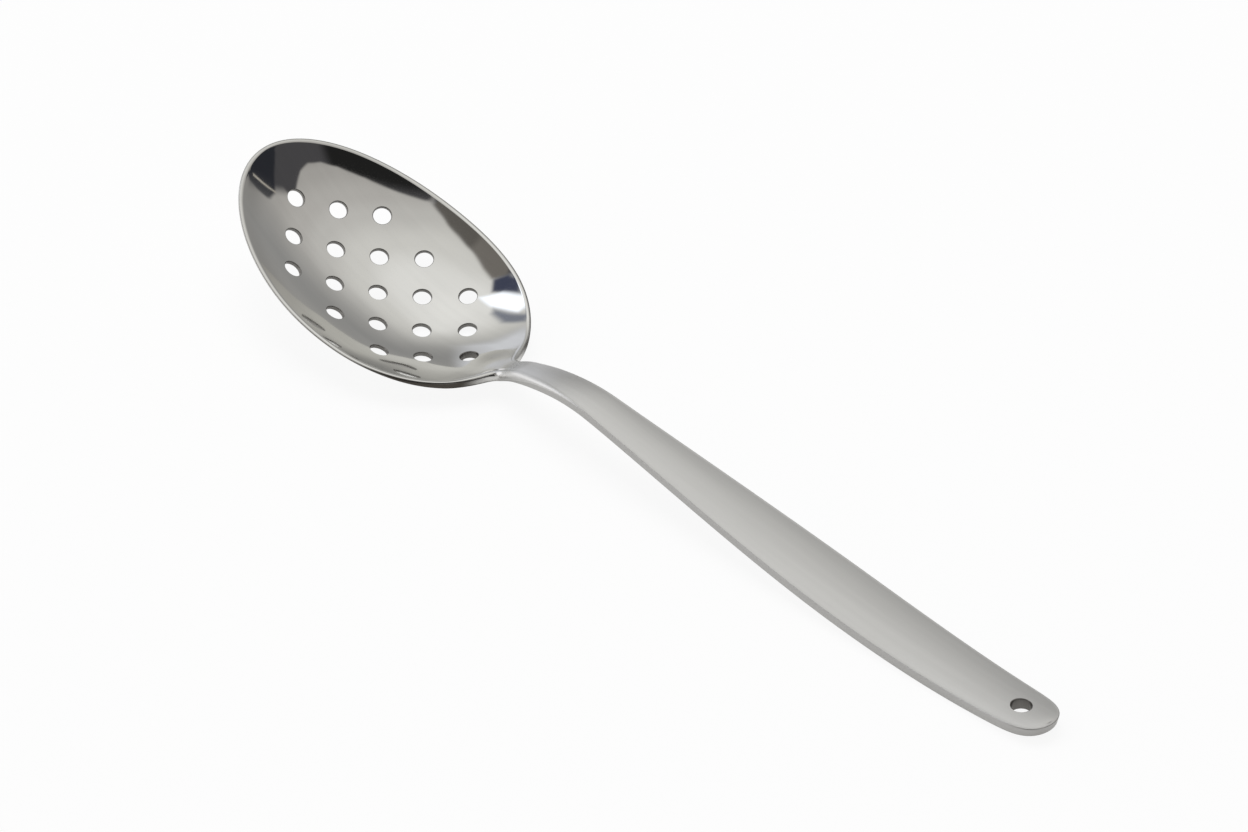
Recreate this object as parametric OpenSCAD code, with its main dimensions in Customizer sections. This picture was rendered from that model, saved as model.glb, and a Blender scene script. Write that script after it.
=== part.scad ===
// Perforated serving spoon, pressed and forged in one piece of stainless steel.
// The form is described with the bowl's rim level and its tip at x = 0, the handle running along +X.
// At the end it is tipped and set down the way it lies on a table: on the bowl's belly and the handle's heel.

/* [Overall] */
// Length from the bowl's tip to the handle's end, along the rim's plane
spoon_len = 328.5; // [290:0.1:380]

/* [Bowl] */
// Length of the egg-shaped bowl, up to where its sides would meet under the neck
bowl_len = 109.3; // [96:0.1:125]
// Width of the bowl at its widest
bowl_w = 73.8; // [60:0.2:84]
// Distance of the widest place from the tip
widest_x = 56.2; // [48:0.2:64]
// Depth of the dish below its rim
bowl_depth = 10.3; // [7:0.1:16]
// Distance of the deepest place from the tip
deepest_x = 70; // [54:0.2:80]
// How far the rim rises from the bowl's middle to its tip
tip_lift = 6.4; // [0:0.1:10]
// Thickness of the sheet in the bowl
sheet_t = 1.2; // [0.9:0.1:1.8]
// Width of the flat that is ground on the rim
rim_w = 1.4; // [1:0.1:2.2]
// Height of the rim's outer edge below that flat
edge_land = 0.3; // [0.2:0.05:0.6]

/* [Perforations] */
// Diameter of the drain holes
hole_d = 5.9; // [4:0.1:7]
// Distance between neighbouring holes of the square grid, which is turned by 45 degrees
hole_pitch = 13.7; // [12:0.1:14.5]
// Distance of the grid's middle hole from the tip
grid_x = 55.2; // [50:0.1:60]
// Holes along each side of the grid
grid_n = 5; // [3:2:5]
// Holes further apart than this across the grid are left out at its two side corners
grid_corner = 2; // [1:1:3]

/* [Neck] */
// Width of the neck at its narrowest
neck_w = 9.8; // [8:0.2:14]
// Thickness of the neck
neck_t = 3.5; // [2:0.1:4.5]
// Height that the neck gains over the rim before the handle starts
neck_rise = 20.6; // [12:0.2:30]
// Length over which the neck climbs
neck_run = 44.7; // [32:0.1:60]
// Steepness of the climb where it leaves the rim
neck_kick = 2.35; // [1:0.05:3]
// Length of the tongue that runs from the neck down into the bowl
tongue_len = 15; // [10:1:30]
// Height of that tongue above the dish
tongue_h = 0.8; // [0:0.1:2]

/* [Handle] */
// Width of the handle at its widest
handle_w = 21.9; // [16:0.1:28]
// Distance of the widest place from the handle's end
wide_from_end = 76.7; // [55:0.1:95]
// Width towards the end, before it is rounded off
end_w = 16.8; // [14:0.2:24]
// Length of the rounded end
end_round = 20.8; // [15:0.1:26]
// Thickness in the handle's middle
handle_t = 2.5; // [1.6:0.1:4]
// Thickness at the handle's end
end_t = 3.1; // [2:0.1:5]
// Height of the crowned top over its edges, at the widest place
crown_h = 0.9; // [0:0.1:2]
// Rise of the handle's straight stretch per millimetre of length
handle_slope = 0.098; // [0.05:0.002:0.18]
// Height that the end sweeps up beyond the straight stretch
sweep_h = 10.3; // [4:0.1:16]
// Length of that upward sweep
sweep_len = 171; // [120:1:200]

/* [Hanging hole] */
// Diameter of the hole
hang_d = 6.4; // [4:0.1:8]
// Distance of its centre from the handle's end
hang_inset = 12; // [9:0.1:18]

/* [Hidden] */

steel = "silver";

// Where the rim leaves its plane, where the neck's climb ends, and where the sweep starts
climb_x = bowl_len - 8.3;
crest_x = climb_x + neck_run;
sweep_x = spoon_len - sweep_len;
wide_x = spoon_len - wide_from_end;
round_x = spoon_len - end_round;
hang_x = spoon_len - hang_inset;

// Exponents of the egg in front of its widest place and behind it
egg_front = 1.86;
egg_along = 2.52;
egg_across = 1.54;
// Exponents of the dish from side to side, from its deepest place to the tip, and back to the neck
dish_across = 2;
dish_front = 3.3;
dish_behind = 1.7;
// Exponent of the rim's rise to the tip
lift_power = 1.68;
// Sink of the rim's middle below its plane
rim_sag = 0.3;
// Sharpness of the corners where the neck leaves the egg, and of the start of its climb
corner_soft = 0.5;
climb_soft = 1;
// Slope at which the neck starts to widen into the handle, as a share of the mean
flare = 0.45;
// Squareness of the handle's rounded end, and how late the upward sweep sets in
end_power = 5.5;
sweep_power = 4;
// Length over which the dish runs out behind its deepest place
dish_back = bowl_len - 3.9 - deepest_x;
// Places where the sheet starts to thicken towards the neck, and where it has done so
thick_x = bowl_len - 18;
solid_x = bowl_len - 3;

// Steps along the bowl's front, its back, the neck, the handle and the rounded end, and across
front_n = 18;
back_n = 20;
neck_n = 12;
handle_n = 20;
end_n = 8;
across_n = 16;
start_angle = 3;

function clamp(t) = min(max(t, 0), 1);
function ease(t) = let (c = clamp(t)) c * c * (3 - 2 * c);
function between(x, a, b) = ease((x - a) / (b - a));
// The larger of two values, with the corner between them rounded
function soft_max(a, b, soft) = (a + b + sqrt((a - b) * (a - b) + soft * soft)) / 2;
// A rise from 0 to 1 that starts with the given steepness and ends level
function climb(t, kick) = kick * (t - 2 * t * t + t * t * t) + 3 * t * t - 2 * t * t * t;

// Half the width of the outline at x: the egg, the neck and handle, and both together
function egg_half(x) = bowl_w / 2 * (x < widest_x
    ? sqrt(max(1 - pow((widest_x - x) / widest_x, egg_front), 0))
    : pow(1 - pow(clamp((x - widest_x) / (bowl_len - widest_x)), egg_along), 1 / egg_across));
function widening(x) = climb(clamp((x - bowl_len) / (wide_x - bowl_len)), flare);
function taper(x) = pow(clamp((x - wide_x) / (spoon_len - wide_x)), 2);
function rounding(x) = sqrt(max(1 - pow(clamp((x - round_x) / end_round), end_power), 0));
function bar_half(x) = rounding(x) * (x < wide_x
    ? neck_w / 2 + (handle_w - neck_w) / 2 * widening(x)
    : handle_w / 2 - (handle_w - end_w) / 2 * taper(x));
function half_w(x) = x < widest_x ? egg_half(x) : soft_max(egg_half(x), bar_half(x), corner_soft);

// Height of the outline at x: the rim, the climb along the neck, the handle and its sweep
function rim_z(x) = tip_lift * pow(max(widest_x - x, 0) / widest_x, lift_power) - rim_sag;
function line_z(x) = neck_rise + handle_slope * (x - crest_x);
function climb_share(x) = climb(clamp(soft_max(x - climb_x, 0, climb_soft) / neck_run), neck_kick);
function sweep_z(x) = sweep_h * pow(max(x - sweep_x, 0) / sweep_len, sweep_power);
function edge_z(x) = rim_z(x) * (1 - climb_share(x)) + line_z(x) * climb_share(x) + sweep_z(x);
function edge_slope(x) = edge_z(x + 0.5) - edge_z(x - 0.5);

// Depth of the dish at x, and height of the crown that takes its place on the neck and handle
function dish(x) = bowl_depth * (1 - (x < deepest_x
    ? pow(clamp((deepest_x - x) / (deepest_x - rim_w)), dish_front)
    : pow(clamp((x - deepest_x) / dish_back), dish_behind)));
function crown(x) = crown_h * bar_half(x) / (handle_w / 2) * between(x, climb_x - 4, bowl_len + 6);
// Height of the tongue, which dies out forwards and sideways
function tongue(x, y) = tongue_h * between(x, bowl_len - tongue_len, climb_x)
    * (1 - between(x, climb_x, bowl_len + 6)) * (1 - between(abs(y), 0, neck_w * 0.8));

// Thickness at x, measured square to the sheet and then upright
function thickness(x) = x < solid_x
    ? sheet_t + (neck_t - sheet_t) * between(x, thick_x, solid_x)
    : x < sweep_x
        ? neck_t + (handle_t - neck_t) * between(x, solid_x, sweep_x)
        : handle_t + (end_t - handle_t) * between(x, sweep_x, round_x);
function upright_t(x) = thickness(x) * sqrt(1 + pow(edge_slope(x), 2));
function side_h(x) = edge_land + (upright_t(x) - edge_land) * between(x, bowl_len - 13, bowl_len + 1);

// Share of the ground rim that is left at x, and the inner outline that it leaves to the dish
function rim_share(x) = 1 - between(x, climb_x - 4, bowl_len);
function inner_x(x) = x < widest_x ? widest_x - (widest_x - x) * (widest_x - rim_w) / widest_x : x;
function inner_half(x) = half_w(x) - rim_w * rim_share(x) * half_w(x) / (bowl_w / 2);

// Upper and lower surface. v runs from -1 to 1 across the inner outline above, the whole one below
function top_z(x, v) = edge_z(x) - dish(x) * (1 - pow(abs(v), dish_across))
    + crown(x) * (1 - v * v) + tongue(x, v * inner_half(x));
function under_z(x, v) = edge_z(x) - side_h(x)
    - (dish(x) + upright_t(x) - side_h(x)) * (1 - pow(abs(v), dish_across));

// Places of the cross-sections, closer together where the outline turns
stations = [
    for (i = [0 : front_n - 1]) widest_x * (1 - cos(start_angle + (90 - start_angle) * i / front_n)),
    for (i = [0 : back_n - 1]) widest_x + (bowl_len + 3 - widest_x) * sin(90 * i / back_n),
    for (i = [0 : neck_n - 1]) bowl_len + 3 + (crest_x - bowl_len - 3) * i / neck_n,
    for (i = [0 : handle_n - 1]) crest_x + (round_x - crest_x) * i / handle_n,
    for (i = [0 : end_n]) round_x + end_round * sin((90 - start_angle) * i / end_n)
];
shares = [for (j = [0 : across_n]) -cos(180 * j / across_n)];

function top_row(x) = [
    [x, -half_w(x), edge_z(x)],
    for (v = shares) [inner_x(x), v * inner_half(x), top_z(inner_x(x), v)],
    [x, half_w(x), edge_z(x)]
];
function under_row(x) = [
    [x, -half_w(x), edge_z(x) - side_h(x)],
    for (v = shares) [x, 0.999 * v * half_w(x), under_z(x, 0.999 * v)],
    [x, half_w(x), edge_z(x) - side_h(x)]
];
row_n = across_n + 3;
ring_n = 2 * row_n;
last = len(stations) - 1;

// The tilt at which one table top touches both the bowl's belly and the handle's heel
function lowest(points, tilt) = let (
    h = [for (p = points) p[1] * cos(tilt) - p[0] * sin(tilt)]
) points[search(min(h), h)[0]];
function resting_tilt(belly, heel, tilt, rounds) = rounds == 0 ? tilt : let (
    b = lowest(belly, tilt),
    h = lowest(heel, tilt)
) resting_tilt(belly, heel, atan2(h[1] - b[1], h[0] - b[0]), rounds - 1);
belly_line = [for (x = stations) if (x < bowl_len) [x, under_z(x, 0)]];
heel_line = [for (x = stations) if (x > crest_x) [x, under_z(x, 0)]];
tilt = resting_tilt(belly_line, heel_line, 12, 6);
belly = lowest(belly_line, tilt);
rest_drop = belly[1] * cos(tilt) - belly[0] * sin(tilt);
tip_x = edge_z(0) * sin(tilt);
end_x = max([for (x = stations) x * cos(tilt) + top_z(x, 0) * sin(tilt)]);

module solid_spoon() {
    points = [for (x = stations) each concat(top_row(x), under_row(x))];
    // Strips between neighbouring sections: the top, the underside and the two edges
    tops = [for (i = [0 : last - 1], j = [0 : row_n - 2]) let (a = i * ring_n + j, b = a + ring_n)
        each [[a, b, b + 1], [a, b + 1, a + 1]]];
    unders = [for (i = [0 : last - 1], j = [0 : row_n - 2]) let (a = i * ring_n + row_n + j, b = a + ring_n)
        each [[a, b + 1, b], [a, a + 1, b + 1]]];
    right_edge = [for (i = [0 : last - 1]) let (a = i * ring_n, b = a + ring_n)
        each [[a, b + row_n, b], [a, a + row_n, b + row_n]]];
    left_edge = [for (i = [0 : last - 1]) let (a = i * ring_n + row_n - 1, b = a + ring_n)
        each [[a, b, b + row_n], [a, b + row_n, a + row_n]]];
    // The blunt ends at the tip and at the handle's end
    tip_cap = [for (j = [0 : row_n - 2]) each [[j, j + 1, row_n + j + 1], [j, row_n + j + 1, row_n + j]]];
    end_cap = [for (j = [0 : row_n - 2]) let (a = last * ring_n + j)
        each [[a, a + row_n + 1, a + 1], [a, a + row_n, a + row_n + 1]]];
    polyhedron(points, concat(tops, unders, right_edge, left_edge, tip_cap, end_cap), convexity = 6);
}

// A round hole through the metal at (x, y), square to the surface there
module hole(d, x, y) {
    v = y / inner_half(x);
    along = (top_z(x + 0.5, v) - top_z(x - 0.5, v));
    across = (top_z(x, (y + 0.5) / inner_half(x)) - top_z(x, (y - 0.5) / inner_half(x)));
    translate([x, y, top_z(x, v)])
        rotate([atan(across), -atan(along), 0])
            cylinder(h = 16, d = d, center = true, $fn = 48);
}

module drain_holes() {
    half_pitch = hole_pitch / sqrt(2);
    middle = (grid_n - 1) / 2;
    for (a = [-middle : middle], b = [-middle : middle])
        if (abs(a - b) <= grid_corner)
            hole(hole_d, grid_x + (a + b) * half_pitch, (a - b) * half_pitch);
}

module spoon() {
    color(steel)
    translate([-(tip_x + end_x) / 2, 0, -rest_drop])
    rotate([0, tilt, 0])
    difference() {
        solid_spoon();
        drain_holes();
        hole(hang_d, hang_x, 0);
    }
}

spoon();
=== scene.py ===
import math

import bmesh
import bpy
import numpy as np
from mathutils import Matrix, Vector


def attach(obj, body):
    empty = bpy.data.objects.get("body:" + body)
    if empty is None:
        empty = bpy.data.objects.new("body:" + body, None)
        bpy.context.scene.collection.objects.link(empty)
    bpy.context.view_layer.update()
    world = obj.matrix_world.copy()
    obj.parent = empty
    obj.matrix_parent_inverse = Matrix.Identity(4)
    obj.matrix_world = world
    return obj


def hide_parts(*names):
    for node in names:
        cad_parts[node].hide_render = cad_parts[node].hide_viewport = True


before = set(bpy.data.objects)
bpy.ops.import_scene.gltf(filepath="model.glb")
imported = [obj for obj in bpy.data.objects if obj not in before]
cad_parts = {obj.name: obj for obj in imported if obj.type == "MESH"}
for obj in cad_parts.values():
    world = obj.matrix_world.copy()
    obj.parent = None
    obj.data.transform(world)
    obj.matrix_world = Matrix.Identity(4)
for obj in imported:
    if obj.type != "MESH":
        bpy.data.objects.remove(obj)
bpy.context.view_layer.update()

# Camera
# A long lens from above the bowl's side of the table, turned so that the handle runs
# down to the lower right. The aim is the point in the middle of the picture.
AIM = Vector((-0.013597, 0.003249, 0.014301))
CAMERA_AZIMUTH = -48.1544
CAMERA_ELEVATION = 38.7835
CAMERA_ROLL = 3.1814
CAMERA_DISTANCE = 3.547
LENS = 339.0
SENSOR = 36

camera_data = bpy.data.cameras.new("camera")
camera_data.lens = LENS
camera_data.sensor_width = SENSOR
camera_data.clip_end = 20
camera = bpy.data.objects.new("camera", camera_data)
bpy.context.scene.collection.objects.link(camera)
turn = (Matrix.Rotation(math.radians(CAMERA_AZIMUTH + 90), 3, "Z")
        @ Matrix.Rotation(math.radians(90 - CAMERA_ELEVATION), 3, "X")
        @ Matrix.Rotation(math.radians(CAMERA_ROLL), 3, "Z"))
camera.matrix_world = Matrix.Translation(AIM + turn @ Vector((0, 0, CAMERA_DISTANCE))) @ turn.to_4x4()
bpy.context.scene.camera = camera

# Spoon blank
# One piece of stainless steel: a bowl pressed from sheet, whose edge is ground flat, and a
# thicker forged neck and handle. Sizes are in millimetres, with the rim level and the tip at x = 0.
SPOON_LEN = 328.5
BOWL_LEN, BOWL_W, WIDEST_X = 109.3, 73.8, 56.2
BOWL_DEPTH, DEEPEST_X, TIP_LIFT, RIM_SAG = 10.3, 70, 6.4, 0.3
SHEET_T, RIM_W, EDGE_LAND = 1.2, 1.1, 0.3
RIM_CREST, RIM_BEVEL, RIM_SOFT = 0.2, 0.9, 0.8
EGG_FRONT, EGG_ALONG, EGG_ACROSS = 1.86, 2.52, 1.54
DISH_FRONT, DISH_BEHIND, DISH_GAP, LIFT_POWER = 3.3, 1.7, 3.9, 1.68
NECK_W, NECK_T, NECK_RISE, NECK_RUN, NECK_KICK = 9.8, 3.5, 20.6, 44.7, 2.35
CLIMB_BACK, CORNER_SOFT, CLIMB_SOFT, FLARE = 8.3, 0.5, 1, 0.45
TONGUE_LEN, TONGUE_H = 15, 0.8
HANDLE_W, WIDE_FROM_END, END_W, END_ROUND, END_POWER = 21.9, 76.7, 16.8, 20.8, 5.5
HANDLE_T, END_T, CROWN_H, HANDLE_SLOPE = 2.5, 3.1, 0.9, 0.098
SWEEP_H, SWEEP_LEN, SWEEP_POWER = 10.3, 171, 4
NECK_ROUND, HANDLE_ROUND, ROUND_SHARE, HANDLE_SOFT = 2.0, 0.45, 0.85, 0.5
RIM_UNDER, UNDER_ROUND, JOINT_UNDER, LEAST_WALL = 0.1, 0.3, 0.7, 0.03
# Where the rim climbs onto the neck: heights of its crest and of its lower edge at places along the spoon
JOINT_X = (70, 80, 88, 94, 99, 103.6, 106.5, 108.5, 111, 114, 118)
JOINT_CREST = (-0.1, 0.02, 0.33, 0.6, 1.1, 2.15, 3.4, 4.65, 6.9, 9.45, 11.84)
JOINT_LOW = (-0.6, -0.5, -0.62, -0.8, -0.8, -0.5, -0.05, 0.65, 2.7, 5.35, 7.99)
FILLET_X = (106.8, 110.8)
ROWS_UNDER, ROWS_LOW, ROWS_WALL, ROWS_ROUND, ROWS_CREST, ROWS_TOP = 29, 5, 3, 12, 4, 44
CLIMB_X = BOWL_LEN - CLIMB_BACK
CREST_X = CLIMB_X + NECK_RUN
SWEEP_X = SPOON_LEN - SWEEP_LEN
WIDE_X = SPOON_LEN - WIDE_FROM_END
ROUND_X = SPOON_LEN - END_ROUND
DISH_BACK = BOWL_LEN - DISH_GAP - DEEPEST_X
THICK_X, SOLID_X = BOWL_LEN - 18, BOWL_LEN - 3


def clamp(t):
    return np.clip(t, 0, 1)


def between(x, a, b):
    """A smooth step from 0 at a to 1 at b."""
    t = clamp((x - a) / (b - a))
    return t * t * (3 - 2 * t)


def soft_max(a, b, soft):
    return (a + b + np.sqrt((a - b) ** 2 + soft * soft)) / 2


def climb(t, kick):
    """A rise from 0 to 1 that starts with the given steepness and ends level."""
    return kick * (t - 2 * t ** 2 + t ** 3) + 3 * t ** 2 - 2 * t ** 3


def eased(x, line, a, b):
    """The line with its part from a to b redrawn, so that no change of curvature shows in the polish."""
    rows, values = [], []
    for end, t in ((a, 0.0), (b, 1.0)):
        near = line(np.array([end - 0.01, end, end + 0.01]))
        values += [near[1], (near[2] - near[0]) / 0.02 * (b - a),
                   (near[2] - 2 * near[1] + near[0]) / 1e-4 * (b - a) ** 2]
        rows += [[t ** k for k in range(6)], [k * t ** max(k - 1, 0) for k in range(6)],
                 [k * (k - 1) * t ** max(k - 2, 0) for k in range(6)]]
    drawn = np.polynomial.polynomial.polyval((x - a) / (b - a), np.linalg.solve(np.array(rows), np.array(values)))
    return np.where((x > a) & (x < b), drawn, line(x))


def egg(x):
    front = np.sqrt(np.maximum(1 - clamp((WIDEST_X - x) / WIDEST_X) ** EGG_FRONT, 0))
    back = (1 - clamp((x - WIDEST_X) / (BOWL_LEN - WIDEST_X)) ** EGG_ALONG) ** (1 / EGG_ACROSS)
    return BOWL_W / 2 * np.where(x < WIDEST_X, front, back)


def half_w(x):
    """Half the width of the outline: the egg, and the neck and handle behind it."""
    def outline(x):
        widening = climb(clamp((x - BOWL_LEN) / (WIDE_X - BOWL_LEN)), FLARE)
        taper = clamp((x - WIDE_X) / (SPOON_LEN - WIDE_X)) ** 2
        end = np.sqrt(np.maximum(1 - clamp((x - ROUND_X) / END_ROUND) ** END_POWER, 0))
        neck, handle = NECK_W + (HANDLE_W - NECK_W) * widening, HANDLE_W - (HANDLE_W - END_W) * taper
        bar = end * np.where(x < WIDE_X, neck, handle) / 2
        bowl = eased(x, egg, WIDEST_X - 20, WIDEST_X + 20)
        behind = between(x, WIDEST_X - 25, WIDEST_X)
        return soft_max(bowl, bar * behind, CORNER_SOFT * end * behind)
    return eased(x, outline, *FILLET_X)


def edge_z(x):
    """Height of the outline: the rim, the climb along the neck, the handle and its sweep."""
    rim = eased(x, lambda x: TIP_LIFT * (np.maximum(WIDEST_X - x, 0) / WIDEST_X) ** LIFT_POWER - RIM_SAG,
                WIDEST_X - 15, WIDEST_X + 15)
    line = NECK_RISE + HANDLE_SLOPE * (x - CREST_X)
    share = climb(clamp(soft_max(x - CLIMB_X, 0, CLIMB_SOFT) / NECK_RUN), NECK_KICK)
    sweep = SWEEP_H * (np.maximum(x - SWEEP_X, 0) / SWEEP_LEN) ** SWEEP_POWER
    return rim * (1 - share) + line * share + sweep


def drawn_through(x, places, heights, start, end):
    """A smooth line through the given heights, with the given slopes at its two ends."""
    places, heights = np.array(places, float), np.array(heights, float)
    gap, rise = np.diff(places), np.diff(heights)
    rows, sums = np.zeros((len(places), len(places))), np.zeros(len(places))
    rows[0, 0] = rows[-1, -1] = 1
    sums[0], sums[-1] = start, end
    for i in range(1, len(places) - 1):
        rows[i, i - 1:i + 2] = 1 / gap[i - 1], 2 / gap[i - 1] + 2 / gap[i], 1 / gap[i]
        sums[i] = 3 * (rise[i - 1] / gap[i - 1] ** 2 + rise[i] / gap[i] ** 2)
    slopes = np.linalg.solve(rows, sums)
    i = np.clip(np.searchsorted(places, x) - 1, 0, len(gap) - 1)
    t = (x - places[i]) / gap[i]
    return ((2 * t ** 3 - 3 * t ** 2 + 1) * heights[i] + (3 * t ** 2 - 2 * t ** 3) * heights[i + 1]
            + ((t ** 3 - 2 * t ** 2 + t) * slopes[i] + (t ** 3 - t ** 2) * slopes[i + 1]) * gap[i])


def joined(x, line, heights):
    """The line, redrawn through the given heights where the rim climbs onto the neck."""
    ends = np.array([JOINT_X[0], JOINT_X[-1]])
    start, end = (line(ends + 0.01) - line(ends - 0.01)) / 0.02
    drawn = drawn_through(x, JOINT_X, (line(ends)[0], *heights[1:-1], line(ends)[1]), start, end)
    return np.where((x > ends[0]) & (x < ends[1]), drawn, line(x))


def crest_z(x):
    """Height of the rim's crest, and of the upper edge of the neck and handle."""
    return joined(x, lambda x: edge_z(x) + RIM_CREST * (1 - between(x, BOWL_LEN, BOWL_LEN + 6)), JOINT_CREST)


def low_z(x):
    """Height of the lower edge."""
    return joined(x, lambda x: edge_z(x) - side_h(x), JOINT_LOW)


def dish(x):
    def hollow(x):
        front = 1 - clamp((DEEPEST_X - x) / (DEEPEST_X - RIM_W)) ** DISH_FRONT
        behind = 1 - clamp((x - DEEPEST_X) / DISH_BACK) ** DISH_BEHIND
        return BOWL_DEPTH * np.where(x < DEEPEST_X, front, behind)
    bottom = lambda x: eased(x, hollow, DEEPEST_X - 16, DEEPEST_X + 16)
    return eased(x, bottom, BOWL_LEN - 12, BOWL_LEN + 3)


def thickness(x):
    """Thickness of the metal, measured upright."""
    bowl = SHEET_T + (NECK_T - SHEET_T) * between(x, THICK_X, SOLID_X)
    neck = NECK_T + (HANDLE_T - NECK_T) * between(x, SOLID_X, SWEEP_X)
    handle = HANDLE_T + (END_T - HANDLE_T) * between(x, SWEEP_X, ROUND_X)
    slope = edge_z(x + 0.5) - edge_z(x - 0.5)
    return np.where(x < SOLID_X, bowl, np.where(x < SWEEP_X, neck, handle)) * np.sqrt(1 + slope ** 2)


def side_h(x):
    return EDGE_LAND + (thickness(x) - EDGE_LAND) * between(x, BOWL_LEN - 13, BOWL_LEN + 1)


def hollow_z(x, half):
    """Depth of the upper surface's middle below its edge, which is less than nothing where it is crowned."""
    crown = CROWN_H * half / (HANDLE_W / 2) * between(x, CLIMB_X - 4, BOWL_LEN + 6)
    return dish(x) * (1 + RIM_CREST / BOWL_DEPTH) - crown


def top_z(x, v, half, drop):
    """Upper surface at share v of the way from the middle to the crest, below which it starts by the drop."""
    tongue = (TONGUE_H * between(x, BOWL_LEN - TONGUE_LEN - 8, CLIMB_X + 3) * (1 - between(x, CLIMB_X, BOWL_LEN + 6))
              * (1 - between(abs(v) * half, 0, NECK_W)))
    return crest_z(x) - drop - (hollow_z(x, half) - drop) * (1 - v * v) + tongue


def under_z(x, v):
    """Under surface, which draws in to the thin edge towards the tip."""
    full = 1 - clamp((DEEPEST_X - x) / DEEPEST_X) ** 12
    return low_z(x) - (dish(x) + (thickness(x) - side_h(x)) * full) * (1 - v * v)


def shell_rings():
    """Closed rings of points around the metal, from the tip to the end, and their brushing coordinates."""
    steps = lambda a, b, n: np.linspace(a, b, n, endpoint=False)
    quarter = math.pi / 2
    x = np.concatenate([
        WIDEST_X * (1 - np.cos(steps(0, quarter, 90))),
        steps(WIDEST_X, CLIMB_X, 66),
        steps(CLIMB_X, FILLET_X[0], 20),
        steps(*FILLET_X, 30),
        steps(FILLET_X[1], CREST_X, 56),
        steps(CREST_X, ROUND_X, 80),
        ROUND_X + END_ROUND * np.sin(np.linspace(0, quarter, 28)),
    ])
    x[-1] = SPOON_LEN
    h = half_w(x)
    h[0] = h[-1] = 0
    # Direction in plan that leads inwards, square to the outline
    near = np.clip(x, 1e-3, SPOON_LEN - 1e-3)
    slope = (half_w(near + 1e-3) - half_w(near - 1e-3)) / 2e-3
    inward = np.column_stack([slope, -np.ones_like(x)]) / np.sqrt(1 + slope ** 2)[:, None]
    inward[0], inward[-1] = (1, 0), (-1, 0)
    behind = between(x, BOWL_LEN + 2, CREST_X)
    round_in = RIM_BEVEL + (NECK_ROUND - RIM_BEVEL) * between(x, CLIMB_X, BOWL_LEN)
    round_in = round_in + (HANDLE_ROUND - round_in) * behind
    joint = between(x, CLIMB_X, BOWL_LEN - 2) * (1 - between(x, BOWL_LEN + 3, BOWL_LEN + 18))
    round_under = RIM_UNDER + (UNDER_ROUND - RIM_UNDER) * between(x, CLIMB_X, BOWL_LEN) + JOINT_UNDER * joint
    e, low = crest_z(x), low_z(x)
    full_round = e - low - round_under - LEAST_WALL
    neck_round = np.minimum(round_in * ROUND_SHARE, full_round)
    round_down = full_round + (neck_round - full_round) * between(x, BOWL_LEN + 2, BOWL_LEN + 14)
    soft = RIM_SOFT + (HANDLE_SOFT - RIM_SOFT) * behind

    def at(inset, z):
        """Points at a distance inside the outline, on the far side."""
        return np.column_stack([x + inset * inward[:, 0], np.maximum(h + inset * inward[:, 1], 0), z])

    half = []
    under = at(round_under, low)
    for v in np.sin(np.linspace(0, quarter, ROWS_UNDER + 1))[:-1]:
        bulge = under_z(under[:, 0], np.where(under[:, 1] > 1e-6, v, 1))
        half.append(np.column_stack([under[:, 0], under[:, 1] * v, bulge]))
    for a in np.linspace(0, quarter, ROWS_LOW):
        half.append(at(round_under * (1 - math.sin(a)), low + round_under * (1 - math.cos(a))))
    wall = e - round_down - low - round_under
    for share in (0.04, 0.5, 0.96):
        half.append(at(0, low + round_under + wall * share))
    for a in np.linspace(0, quarter, ROWS_ROUND):
        half.append(at(round_in * (1 - math.cos(a)), e))
        half[-1][:, 2] = crest_z(half[-1][:, 0]) - round_down * (1 - math.sin(a))
    # The crest turns softly down into the bowl, or up into the handle's crown
    inner = at(round_in + soft, e)
    steep = np.sqrt(1 + slope ** 2)
    fall = 2 * hollow_z(inner[:, 0], inner[:, 1]) * steep / (np.maximum(inner[:, 1], 1e-6) + soft * steep)
    for share in np.arange(1, ROWS_CREST + 1) / (ROWS_CREST + 1):
        half.append(at(round_in + soft * share, e))
        half[-1][:, 2] = crest_z(half[-1][:, 0]) - fall * soft * share ** 2 / 2
    for v in np.sin(np.linspace(quarter, 0, ROWS_TOP)):
        v = v if v < 1 else 1.0
        z = top_z(inner[:, 0], np.where(inner[:, 1] > 1e-6, v, 1), inner[:, 1], fall * soft / 2)
        half.append(np.column_stack([inner[:, 0], inner[:, 1] * v, z]))
    half = np.array(half)
    mirrored = half[-2:0:-1] * [1, -1, 1]
    rings = np.concatenate([half, mirrored]).transpose(1, 0, 2)
    middle = np.column_stack([x, e])
    along = np.concatenate([[0], np.cumsum(np.linalg.norm(np.diff(middle, axis=0), axis=1))])
    below = e[:, None] - rings[:, :, 2]
    side = np.sign(rings[:, :, 1])
    side[:, 0] = 1
    across = rings[:, :, 1] + side * np.maximum(below - dish(rings[:, :, 0]), 0)
    return rings, along, across


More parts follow.
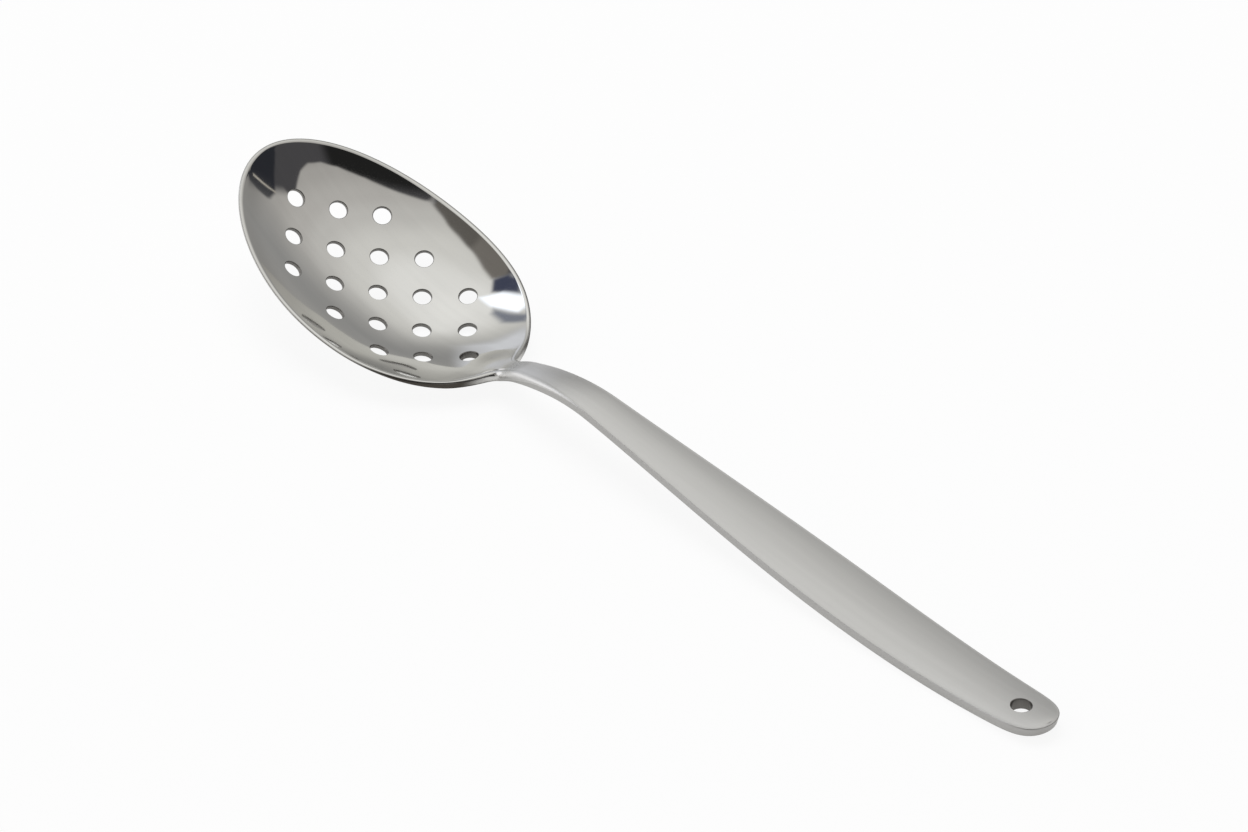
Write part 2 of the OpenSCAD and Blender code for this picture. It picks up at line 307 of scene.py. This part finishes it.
def shell_mesh():
    rings, along, across = shell_rings()
    n, m = rings.shape[:2]
    index = np.arange(n * m).reshape(n, m)
    step = np.roll(index, -1, axis=1)
    quads = np.stack([index[:-1], step[:-1], step[1:], index[1:]], axis=-1).reshape(-1, 4)
    mesh = bpy.data.meshes.new("spoon_blank")
    mesh.from_pydata(rings.reshape(-1, 3) / 1000, [], quads.tolist())
    seam = np.column_stack([across[:, 1:], -across[:, :1]])
    u = np.repeat(along[:, None], m, axis=1)
    corners = np.stack([
        np.stack([u[:-1], across[:-1]], -1), np.stack([u[:-1], seam[:-1]], -1),
        np.stack([u[1:], seam[1:]], -1), np.stack([u[1:], across[1:]], -1)], axis=2)
    layer = mesh.uv_layers.new(name="brushing")
    layer.data.foreach_set("uv", (corners / 1000).astype(np.float32).ravel())
    # The outer edge is dull where the press sheared it, and painted shade darkens its side wall and lower rounding,
    # most of all shortly before the neck, and a thin line along the neck's and handle's upper edge
    dull_and_painted_shade = np.zeros((n, m))
    place = rings[:, 0, 0]
    towards_neck = between(place, DEEPEST_X, CLIMB_X - 10)
    # face sets the painted shade and roughness on the lower rounding and side wall, corner_painted_shade on the
    # lower half of the upper rounding
    face = 0.4 + 0.6 * towards_neck - 0.75 * between(place, BOWL_LEN - 5, BOWL_LEN)
    corner_painted_shade = (0.35 + 0.65 * towards_neck - 0.98 * between(place, BOWL_LEN - 6, BOWL_LEN - 2)
              + 0.3 * between(place, BOWL_LEN + 15, CREST_X))
    round_row = ROWS_UNDER + ROWS_LOW + ROWS_WALL
    for row in range(ROWS_UNDER + 1, round_row + ROWS_ROUND):
        up = (row - round_row) / (ROWS_ROUND - 1)
        dull_and_painted_shade[:, row] = dull_and_painted_shade[:, m - row] = face if up < 0 else corner_painted_shade * (1 - between(up, 0.5, 0.9))
    mesh.attributes.new("dull_and_painted_shade", "FLOAT", "POINT").data.foreach_set("value", dull_and_painted_shade.astype(np.float32).ravel())
    work = bmesh.new()
    work.from_mesh(mesh)
    bmesh.ops.remove_doubles(work, verts=work.verts, dist=2e-6)
    bmesh.ops.dissolve_degenerate(work, edges=work.edges, dist=1e-7)
    bmesh.ops.recalc_face_normals(work, faces=work.faces)
    for face in work.faces:
        face.smooth = True
    work.to_mesh(mesh)
    work.free()
    return mesh


def resting_place(rings):
    """Tilt at which one table top touches the belly and the heel, and the shift onto it."""
    place = rings[:, 0, 0]
    belly_line, heel_line = (rings[keep, 0][:, [0, 2]] for keep in (place < BOWL_LEN, place > CREST_X))
    tilt = 0.2
    for _ in range(12):
        belly, heel = (line[np.argmin(line[:, 1] * math.cos(tilt) - line[:, 0] * math.sin(tilt))]
                       for line in (belly_line, heel_line))
        tilt = math.atan2(heel[1] - belly[1], heel[0] - belly[0])
    drop = belly[1] * math.cos(tilt) - belly[0] * math.sin(tilt)
    tip = float(edge_z(np.array([0.0]))[0]) * math.sin(tilt)
    end = (rings[:, :, 0] * math.cos(tilt) + rings[:, :, 2] * math.sin(tilt)).max()
    return tilt, (-(tip + end) / 2000, 0, -drop / 1000)


# Punched holes
# Nineteen round drain holes are punched through the sheet on a square grid turned by
# 45 degrees, without its two side corners, and one larger hole for a hook near the handle's end.
HOLE_D, HOLE_PITCH, GRID_X, GRID_N, GRID_CORNER = 5.9, 13.7, 55.2, 5, 2
HANG_D, HANG_X = 6.4, SPOON_LEN - 12
DRAIN_ROUND, HANG_ROUND = 0.22, 0.35
# In metres: how high above the blank the grid is set out, and how far a punch reaches each way
GRID_ABOVE, PUNCH_REACH = 0.06, 0.008


def add(tree, kind, inputs=None, **settings):
    """A new node with its settings, and its inputs by name: each a value or another node's output."""
    made = tree.nodes.new(kind)
    for name, value in settings.items():
        setattr(made, name, value)
    for name, value in (inputs or {}).items():
        join(tree, value, made.inputs[name])
    return made


def join(tree, value, socket):
    if isinstance(value, bpy.types.NodeSocket):
        tree.links.new(value, socket)
    else:
        socket.default_value = value


def calc(tree, operation, *values, clamped=False):
    made = tree.nodes.new("ShaderNodeMath")
    made.operation = operation
    made.use_clamp = clamped
    for value, socket in zip(values, made.inputs):
        join(tree, value, socket)
    return made.outputs[0]


def new_tree(name, inputs):
    """A geometry tree with named inputs, and its input and output nodes."""
    tree = bpy.data.node_groups.new(name, "GeometryNodeTree")
    for title, kind in inputs.items():
        tree.interface.new_socket(title, in_out="INPUT", socket_type="NodeSocket" + kind)
    tree.interface.new_socket("Geometry", in_out="OUTPUT", socket_type="NodeSocketGeometry")
    return tree, tree.nodes.new("NodeGroupInput").outputs, tree.nodes.new("NodeGroupOutput").inputs


def punch_tree():
    tree, given, result = new_tree("punch", {
        "Blank": "Geometry", "Diameter": "Float", "Spacing": "Float", "Holes along a side": "Int",
        "Kept across": "Int", "Middle": "Float", "Edge rounding": "Float"})
    do = lambda *a, **k: calc(tree, *a, **k)
    side = given["Holes along a side"]
    index = add(tree, "GeometryNodeInputIndex").outputs[0]
    centre = do("DIVIDE", do("SUBTRACT", side, 1), 2)
    row = do("SUBTRACT", do("FLOOR", do("DIVIDE", do("ADD", index, 0.5), side)), centre)
    place = do("SUBTRACT", do("FLOORED_MODULO", index, side), centre)
    half_step = do("DIVIDE", given["Spacing"], math.sqrt(2))
    spot = add(tree, "ShaderNodeCombineXYZ", {
        "X": do("MULTIPLY_ADD", do("ADD", row, place), half_step, given["Middle"]),
        "Y": do("MULTIPLY", do("SUBTRACT", row, place), half_step), "Z": GRID_ABOVE})
    points = add(tree, "GeometryNodePoints", {"Count": do("MULTIPLY", side, side), "Position": spot.outputs[0]})
    here = add(tree, "GeometryNodeInputPosition").outputs[0]
    sideways = do("ABSOLUTE", add(tree, "ShaderNodeSeparateXYZ", {"Vector": here}).outputs["Y"])
    outside = do("GREATER_THAN", sideways, do("MULTIPLY", half_step, do("ADD", given["Kept across"], 0.5)))
    kept = add(tree, "GeometryNodeDeleteGeometry", {
        "Geometry": points.outputs[0], "Selection": outside}, domain="POINT")
    # The punch: a round bar that flares just below the surface, which rounds the hole's edge
    arc_points = 9
    turn = do("MULTIPLY", do("DIVIDE", do("SUBTRACT", index, 1), arc_points - 1, clamped=True), math.pi / 2)
    rounding = given["Edge rounding"]
    first, last = do("LESS_THAN", index, 0.5), do("GREATER_THAN", index, arc_points + 0.5)
    reach = do("MULTIPLY", do("SUBTRACT", last, first), PUNCH_REACH)
    height = do("ADD", do("MULTIPLY", rounding, do("SUBTRACT", do("SINE", turn), 1)), reach)
    width = do("MULTIPLY_ADD", rounding, do("SUBTRACT", 0.5, do("COSINE", turn)), do("DIVIDE", given["Diameter"], 2))
    line = add(tree, "GeometryNodeMeshLine", {"Count": arc_points + 2})
    shaped = add(tree, "GeometryNodeSetPosition", {
        "Geometry": line.outputs[0], "Position": add(tree, "ShaderNodeCombineXYZ", {"Z": height}).outputs[0]})
    axis = add(tree, "GeometryNodeMeshToCurve", {"Mesh": shaped.outputs[0]})
    ring = add(tree, "GeometryNodeCurvePrimitiveCircle", {"Resolution": 64, "Radius": 1.0})
    punch = add(tree, "GeometryNodeCurveToMesh", {
        "Curve": axis.outputs[0], "Profile Curve": ring.outputs[0], "Scale": width, "Fill Caps": True})
    # Each punch stands square to the surface straight below its place on the grid
    found = add(tree, "GeometryNodeRaycast", {
        "Target Geometry": given["Blank"], "Source Position": here, "Ray Direction": (0, 0, -1), "Ray Length": 0.2})
    upright = add(tree, "FunctionNodeAlignRotationToVector", {"Vector": found.outputs["Hit Normal"]}, axis="Z")
    punches = add(tree, "GeometryNodeInstanceOnPoints", {
        "Points": kept.outputs[0], "Instance": punch.outputs[0], "Rotation": upright.outputs[0]})
    lowered = add(tree, "GeometryNodeSetPosition", {
        "Geometry": punches.outputs[0], "Position": found.outputs["Hit Position"]})
    bars = add(tree, "GeometryNodeRealizeInstances", {"Geometry": lowered.outputs[0]})
    # The punched walls are marked for a rougher finish and for painted shade, which the steel darkens
    bars_marked_for_painted_shade = add(tree, "GeometryNodeStoreNamedAttribute", {
        "Geometry": bars.outputs[0], "Name": "sheared_and_painted_shade", "Value": 0.75}, data_type="FLOAT", domain="FACE")
    cut = add(tree, "GeometryNodeMeshBoolean", {"Mesh 1": given["Blank"], "Mesh 2": bars_marked_for_painted_shade.outputs[0]},
              operation="DIFFERENCE", solver="MANIFOLD")
    smooth = add(tree, "GeometryNodeSetShadeSmooth", {"Geometry": cut.outputs[0], "Shade Smooth": True})
    crisp = add(tree, "GeometryNodeSetShadeSmooth", {
        "Geometry": smooth.outputs[0], "Selection": cut.outputs["Intersecting Edges"],
        "Shade Smooth": False}, domain="EDGE")
    join(tree, crisp.outputs[0], result[0])
    return tree


def spoon_tree():
    tree, given, result = new_tree("slotted spoon", {
        "Blank": "Geometry", "Drain hole": "Float", "Drain spacing": "Float", "Drain holes along a side": "Int",
        "Drain rows kept across": "Int", "Drain grid middle": "Float", "Drain edge rounding": "Float",
        "Hanging hole": "Float", "Hanging place": "Float", "Hanging edge rounding": "Float",
        "Tilt": "Vector", "Set down by": "Vector", "Steel": "Material"})
    tool = punch_tree()
    drained = add(tree, "GeometryNodeGroup", node_tree=tool)
    for value, socket in zip([given[i] for i in range(7)], drained.inputs):
        join(tree, value, socket)
    hung = add(tree, "GeometryNodeGroup", node_tree=tool)
    for value, socket in zip([drained.outputs[0], given["Hanging hole"], 0.0, 1, 1, given["Hanging place"],
                              given["Hanging edge rounding"]], hung.inputs):
        join(tree, value, socket)
    rested = add(tree, "GeometryNodeTransform", {
        "Geometry": hung.outputs[0], "Rotation": given["Tilt"], "Translation": given["Set down by"]})
    real = add(tree, "GeometryNodeRealizeInstances", {"Geometry": rested.outputs[0]})
    finished = add(tree, "GeometryNodeSetMaterial", {"Geometry": real.outputs[0], "Material": given["Steel"]})
    join(tree, finished.outputs[0], result[0])
    return tree


# Steel
# Stainless steel, polished to a mirror in the bowl and brushed to a satin along the neck
# and handle. The punched and sheared edges are left rougher, and painted shade darkens their colour.
MIRROR_TONE, SATIN_TONE, SHEARED_PAINTED_SHADE_TONE = (0.66, 0.655, 0.63, 1), (0.60, 0.595, 0.578, 1), (0.075, 0.067, 0.058, 1)
# Where the satin fades in, in metres along the spoon from its tip
SATIN_FROM, SATIN_TO = 0.096, 0.121
SHEARED_ROUGHNESS = 0.45


def steel_material():
    material = bpy.data.materials.new("steel")
    material.use_nodes = True
    tree = material.node_tree
    do = lambda *a, **k: calc(tree, *a, **k)
    brushing = add(tree, "ShaderNodeUVMap", uv_map="brushing").outputs[0]
    sheared_and_painted_shade = do("MAXIMUM", *(add(tree, "ShaderNodeAttribute", attribute_name=name).outputs["Fac"]
                              for name in ("sheared_and_painted_shade", "dull_and_painted_shade")))
    along = add(tree, "ShaderNodeSeparateXYZ", {"Vector": brushing}).outputs["X"]

    def streaks(length, width, detail):
        """Noise drawn out along the spoon, with streaks of the given length and width in metres."""
        drawn = add(tree, "ShaderNodeMapping", {"Vector": brushing, "Scale": (1 / length, 1 / width, 1)})
        noise = add(tree, "ShaderNodeTexNoise", {"Vector": drawn.outputs[0], "Scale": 1.0, "Detail": detail})
        return noise.outputs["Fac"]

    def fade(value, low, high, start=0.0, end=1.0):
        return add(tree, "ShaderNodeMapRange", {
            "Value": value, "From Min": low, "From Max": high, "To Min": start, "To Max": end},
            interpolation_type="SMOOTHSTEP").outputs[0]

    satin = fade(along, SATIN_FROM, SATIN_TO)
    fine, broad = streaks(0.08, 0.0003, 2.0), streaks(0.08, 0.003, 2.0)
    mirror = do("MULTIPLY_ADD", broad, 0.03, 0.03)
    brushed = do("MULTIPLY_ADD", fine, 0.10, 0.28)
    smoothness = add(tree, "ShaderNodeMix", {
        "Factor": satin, "A": mirror, "B": brushed}, data_type="FLOAT").outputs[0]
    roughness = add(tree, "ShaderNodeMix", {
        "Factor": sheared_and_painted_shade, "A": smoothness, "B": SHEARED_ROUGHNESS}, data_type="FLOAT").outputs[0]
    tone = add(tree, "ShaderNodeMix", data_type="RGBA", blend_type="MIX")
    join(tree, satin, tone.inputs[0])
    join(tree, MIRROR_TONE, tone.inputs[6])
    join(tree, SATIN_TONE, tone.inputs[7])
    streaked = add(tree, "ShaderNodeMix", data_type="RGBA", blend_type="MULTIPLY")
    join(tree, fade(broad, 0.3, 0.7, 0.0, 0.35), streaked.inputs[0])
    join(tree, tone.outputs[2], streaked.inputs[6])
    join(tree, (0.9, 0.9, 0.9, 1), streaked.inputs[7])
    # Painted shade: the marked walls and edges are mixed towards a near-black tone
    edge_painted_shade = add(tree, "ShaderNodeMix", data_type="RGBA", blend_type="MIX")
    join(tree, sheared_and_painted_shade, edge_painted_shade.inputs[0])
    join(tree, streaked.outputs[2], edge_painted_shade.inputs[6])
    join(tree, SHEARED_PAINTED_SHADE_TONE, edge_painted_shade.inputs[7])
    # The press leaves the polished sheet very slightly wavy, which tears the edges of what it mirrors
    waves = add(tree, "ShaderNodeBump", {"Height": streaks(0.012, 0.012, 1.0), "Strength": 1.0, "Distance": 0.00004})
    lines = add(tree, "ShaderNodeBump", {
        "Height": fine, "Strength": do("MULTIPLY_ADD", satin, 0.06, 0.003), "Distance": 0.00002,
        "Normal": waves.outputs[0]})
    tangent = add(tree, "ShaderNodeTangent", direction_type="UV_MAP", uv_map="brushing")
    shader = tree.nodes["Principled BSDF"]
    for name, value in {"Base Color": edge_painted_shade.outputs[2], "Metallic": 1.0, "Roughness": roughness,
                        "Anisotropic": 0.7, "Anisotropic Rotation": 0.25,
                        "Normal": lines.outputs[0], "Tangent": tangent.outputs[0]}.items():
        join(tree, value, shader.inputs[name])
    return material


def make_spoon():
    rings, along, across = shell_rings()
    tilt, shift = resting_place(rings)
    steel = steel_material()
    blank = bpy.data.objects.new("blank", shell_mesh())
    blank.data.materials.append(steel)
    bpy.context.scene.collection.objects.link(blank)
    tree = spoon_tree()
    modifier = blank.modifiers.new("making", "NODES")
    modifier.node_group = tree
    values = [HOLE_D / 1000, HOLE_PITCH / 1000, GRID_N, GRID_CORNER, GRID_X / 1000, DRAIN_ROUND / 1000,
              (HANG_D + HANG_ROUND) / 1000, HANG_X / 1000, HANG_ROUND / 1000, (0, tilt, 0), shift, steel]
    sockets = [item for item in tree.interface.items_tree if item.in_out == "INPUT"]
    for item, value in zip(sockets[1:], values):
        modifier[item.identifier] = value
    ready = blank.evaluated_get(bpy.context.evaluated_depsgraph_get())
    mesh = bpy.data.meshes.new_from_object(ready)
    bpy.data.objects.remove(blank)
    spoon = bpy.data.objects.new("slotted_spoon", mesh)
    bpy.context.scene.collection.objects.link(spoon)
    return spoon


spoon = make_spoon()
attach(spoon, "root")
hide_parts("spoon")

# Studio
# A white table under a tent of pale cloth. The tent is open in places, and there the dark
# room, a stand and a window show in the polished bowl.
# The table's own colour, the share of pure white that the camera sees in it, and that the steel mirrors
TABLE_TONE, WHITE_SEEN, WHITE_MIRRORED = (0.93, 0.93, 0.93, 1), 0.9, 0.5
LAMP_PLACE, LAMP_SIZE, LAMP_POWER, LAMP_DISTANCE = (-0.46, 0.27), 2.4, 34, 3


def toward(x, y):
    """Direction to a point of the tent's roof, one unit above the spoon."""
    return Vector((x, y, 1)).normalized()


floor_mesh = bpy.data.meshes.new("floor")
floor_mesh.from_pydata([(-20, -20, 0), (20, -20, 0), (20, 20, 0), (-20, 20, 0)], [], [(0, 1, 2, 3)])
floor = bpy.data.objects.new("floor", floor_mesh)
bpy.context.scene.collection.objects.link(floor)
paper = bpy.data.materials.new("white_table")
paper.use_nodes = True
tree = paper.node_tree
tree.nodes["Principled BSDF"].inputs["Base Color"].default_value = TABLE_TONE
tree.nodes["Principled BSDF"].inputs["Roughness"].default_value = 1
tree.nodes["Principled BSDF"].inputs["Specular IOR Level"].default_value = 0
seen = add(tree, "ShaderNodeLightPath").outputs
mirrored = calc(tree, "MAXIMUM", seen["Is Glossy Ray"], seen["Is Transmission Ray"])
white = add(tree, "ShaderNodeEmission", {"Color": (1, 1, 1, 1), "Strength": 1.0})
share = calc(tree, "MAXIMUM", calc(tree, "MULTIPLY", seen["Is Camera Ray"], WHITE_SEEN),
             calc(tree, "MULTIPLY", mirrored, WHITE_MIRRORED))
backdrop = add(tree, "ShaderNodeMixShader", {"Fac": share})
tree.links.new(tree.nodes["Principled BSDF"].outputs[0], backdrop.inputs[1])
tree.links.new(white.outputs[0], backdrop.inputs[2])
tree.links.new(backdrop.outputs[0], tree.nodes["Material Output"].inputs["Surface"])
floor_mesh.materials.append(paper)

world = bpy.data.worlds.new("studio")
bpy.context.scene.world = world
world.use_nodes = True
tree = world.node_tree
ray = add(tree, "ShaderNodeTexCoord").outputs["Object"]


def facing(direction):
    return add(tree, "ShaderNodeVectorMath", {0: ray, 1: direction}, operation="DOT_PRODUCT").outputs["Value"]


def patch(below, corners, colour, soft=0.02):
    """Paints a piece of the tent between its corners."""
    if sum(a[0] * b[1] - a[1] * b[0] for a, b in zip(corners, corners[1:] + corners[:1])) < 0:
        corners = corners[::-1]
    inside = None
    for here, there in zip(corners, corners[1:] + corners[:1]):
        edge = facing(toward(*here).cross(toward(*there)).normalized())
        inside = edge if inside is None else calc(tree, "MINIMUM", inside, edge)
    cover = add(tree, "ShaderNodeMapRange", {
        "Value": inside, "From Min": -soft, "From Max": soft}, interpolation_type="SMOOTHSTEP")
    painted = add(tree, "ShaderNodeMix", data_type="RGBA", blend_type="MIX")
    for value, slot in ((cover.outputs[0], 0), (below, 6), (colour, 7)):
        join(tree, value, painted.inputs[slot])
    return painted.outputs[2]


# Brightness of the cloth, by how far it lies from the lamp behind it
glow = add(tree, "ShaderNodeValToRGB", {"Fac": calc(tree, "MULTIPLY_ADD", facing(toward(*LAMP_PLACE)), 0.5, 0.5)})
stops = {
    0.30: (0.85, 0.85, 0.85), 0.55: (0.5, 0.49, 0.48), 0.69: (0.33, 0.32, 0.31), 0.76: (0.52, 0.505, 0.49),
    0.84: (0.62, 0.605, 0.59), 0.89: (0.71, 0.70, 0.685), 0.95: (0.87, 0.865, 0.845),
    0.985: (1.04, 1.04, 1.03), 1.0: (1.1, 1.1, 1.09)}
ramp = glow.color_ramp
while len(ramp.elements) < len(stops):
    ramp.elements.new(0.5)
for element, (place, colour) in zip(ramp.elements, stops.items()):
    element.position, element.color = place, (*colour, 1)
ramp.interpolation = "EASE"
cloth = glow.outputs[0]

CHARCOAL, BLACK = (0.085, 0.083, 0.09, 1), (0.02, 0.02, 0.02, 1)
# Dark openings in the tent, most of them towards the camera's side
light = patch(cloth, [(0.10, -0.37), (-0.5, -0.17), (-0.78, -0.3), (-0.45, -0.62), (0.2, -0.8)], CHARCOAL, soft=0.04)
light = patch(light, [(0.11, -0.37), (1.2, -6), (6, -5), (2.4, 0), (2.0, 1.6), (0.66, 0.95)], CHARCOAL)
light = patch(light, [(0.64, 0.85), (2.2, 0.85), (2.6, 2.8), (1.04, 2.8)], CHARCOAL, soft=0.05)
light = patch(light, [(0.13, -0.42), (1.0, -3.5), (4, -3.5), (1.6, -0.2), (0.70, 0.05)], BLACK, soft=0.06)
# The cloth of the roof, laid over the openings' near sides so that its edge is crisp
light = patch(light, [
    (-3, 0.5), (0.11, -0.35), (0.47, -0.17), (0.66, -0.03), (0.78, 0.12), (0.83, 0.29), (0.79, 0.46),
    (0.66, 0.68), (0.3, 1.29), (-1, 2)], cloth, soft=0.012)
# Grey openings, which show at the neck's end of the bowl
light = patch(light, [(0.07, -0.36), (-0.10, -0.285), (-0.23, -0.245), (-0.31, -0.24), (-0.5, -0.5), (0.05, -0.65)],
              (0.15, 0.14, 0.13, 1), soft=0.015)
light = patch(light, [(-0.25, -0.25), (-0.37, -0.20), (-0.50, -0.17), (-0.62, -0.24), (-0.55, -0.45), (-0.3, -0.55)],
              (0.22, 0.205, 0.19, 1), soft=0.02)
# A dark stand and its bright edge, which show beside the tip
light = patch(light, [
    (0.70, 1.32), (1.15, 0.87), (3, 0.6), (3, 4), (1.10, 2.75), (0.87, 2.25), (0.68, 1.75), (0.66, 1.62)],
              (0.03, 0.032, 0.04, 1), soft=0.015)
light = patch(light, [(0.69, 1.30), (0.71, 1.29), (1.17, 2.28), (1.12, 2.30)], (0.6, 0.56, 0.5, 1), soft=0.008)
# Dimmer cloth low down on the far side, which darkens the handle's far edge
light = patch(light, [(0.5, 2.03), (-2.04, 0.43), (-8, 2), (-6, 9), (1.5, 9)], (0.36, 0.36, 0.36, 1), soft=0.28)
# Cool daylight and bright cloth low down beyond the tip, which the neck shows
light = patch(light, [(-1.5, 1.1), (-6, 4.8), (-8, 0.2), (-1.8, 0.14)], (0.86, 0.88, 0.94, 1), soft=0.1)
light = patch(light, [
    (-1.2, 0.02), (-2.2, 0.05), (-8, -0.8), (-6, -10), (-1.2, -3.2), (-0.45, -0.95), (-0.6, -0.6)],
              (1.5, 1.5, 1.54, 1), soft=0.06)
# The window, with its dark frame on both sides
light = patch(light, [(-0.52, -0.17), (-0.64, -0.25), (-0.82, -0.24), (-0.92, -0.1), (-0.62, -0.06)],
              (0.07, 0.08, 0.13, 1), soft=0.02)
light = patch(light, [(-0.55, 0.03), (-0.75, -0.08), (-1.1, -0.09), (-1.1, 0.13), (-0.78, 0.1)],
              (1.7, 1.8, 2.0, 1), soft=0.025)
light = patch(light, [(-0.86, 0.13), (-1.3, 0.17), (-1.45, 0.32), (-1.1, 0.3), (-0.9, 0.2)],
              (0.27, 0.29, 0.35, 1), soft=0.03)

# The lamp above the tent, which evens the light on the table and lays a soft shadow on it
lamp_data = bpy.data.lights.new("lamp", "AREA")
lamp_data.shape, lamp_data.size, lamp_data.energy = "DISK", LAMP_SIZE, LAMP_POWER
lamp = bpy.data.objects.new("lamp", lamp_data)
lamp.location = toward(*LAMP_PLACE) * LAMP_DISTANCE
lamp.rotation_euler = lamp.location.to_track_quat("Z", "Y").to_euler()
lamp.visible_glossy = lamp.visible_camera = False
bpy.context.scene.collection.objects.link(lamp)

seen = add(tree, "ShaderNodeLightPath").outputs
surroundings = tree.nodes["Background"]
join(tree, light, surroundings.inputs["Color"])
backdrop = add(tree, "ShaderNodeMixShader", {"Fac": seen["Is Camera Ray"]})
white = add(tree, "ShaderNodeBackground", {"Color": (1, 1, 1, 1), "Strength": 1.0})
tree.links.new(surroundings.outputs[0], backdrop.inputs[1])
tree.links.new(white.outputs[0], backdrop.inputs[2])
tree.links.new(backdrop.outputs[0], tree.nodes["World Output"].inputs["Surface"])
bpy.context.scene.view_settings.view_transform = "Standard"
